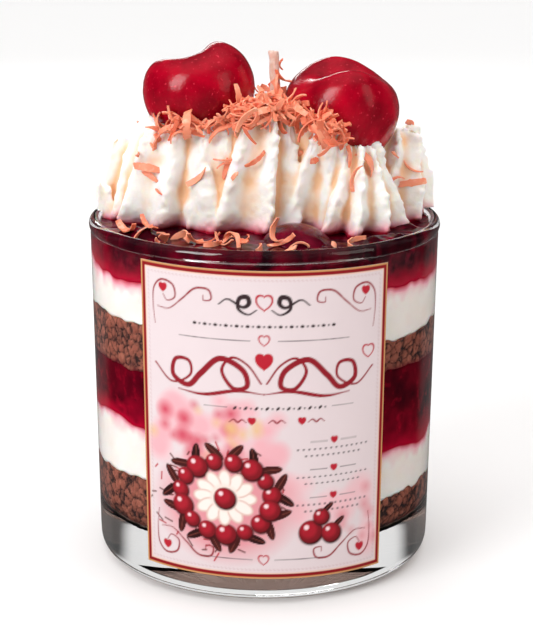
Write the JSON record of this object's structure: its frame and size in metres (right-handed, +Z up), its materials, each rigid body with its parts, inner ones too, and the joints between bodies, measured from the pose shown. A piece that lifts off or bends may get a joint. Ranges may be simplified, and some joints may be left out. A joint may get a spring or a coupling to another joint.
{
  "type": "dessert candle in a glass tumbler",
  "caption": "Straight glass tumbler filled with crumb, cream and jelly layers of wax, topped with piped cream drops, cherries, shaved curls and a wick.",
  "frame": {"origin": "middle of the glass's flat foot, on the surface it stands on", "axes": "+Z up along the glass's axis; -Y faces the label and the open crescent of jelly; +X to the right seen from there"},
  "size_m": [0.0806, 0.0806, 0.1186],
  "materials": {
    "glass": "clear, polished, with a rounded rim bead and a thick base",
    "crumb": "coarse cocoa crumb, matt, with dark pits",
    "cream": "whipped wax, soft satin, stained pink where it meets the jelly",
    "jelly": "clear dark cherry gel, wet gloss",
    "cherry": "crimson wax, polished, faintly dimpled",
    "wick": "cotton dipped in pale wax",
    "chocolate": "shaved wax curls, satin, milk chocolate colour",
    "label": null
  },
  "bodies": {
    "root": {"glass": "glass", "crumb_lower": "crumb", "cream_lower": "cream", "jelly_lower": "jelly", "crumb_upper": "crumb", "cream_upper": "cream", "jelly_top": "jelly", "cream_topping": "cream", "cherry_left": "cherry", "cherry_right": "cherry", "cherry_sunk": "cherry", "wick": "wick", "label": "label"}
  },
  "joints": []
}
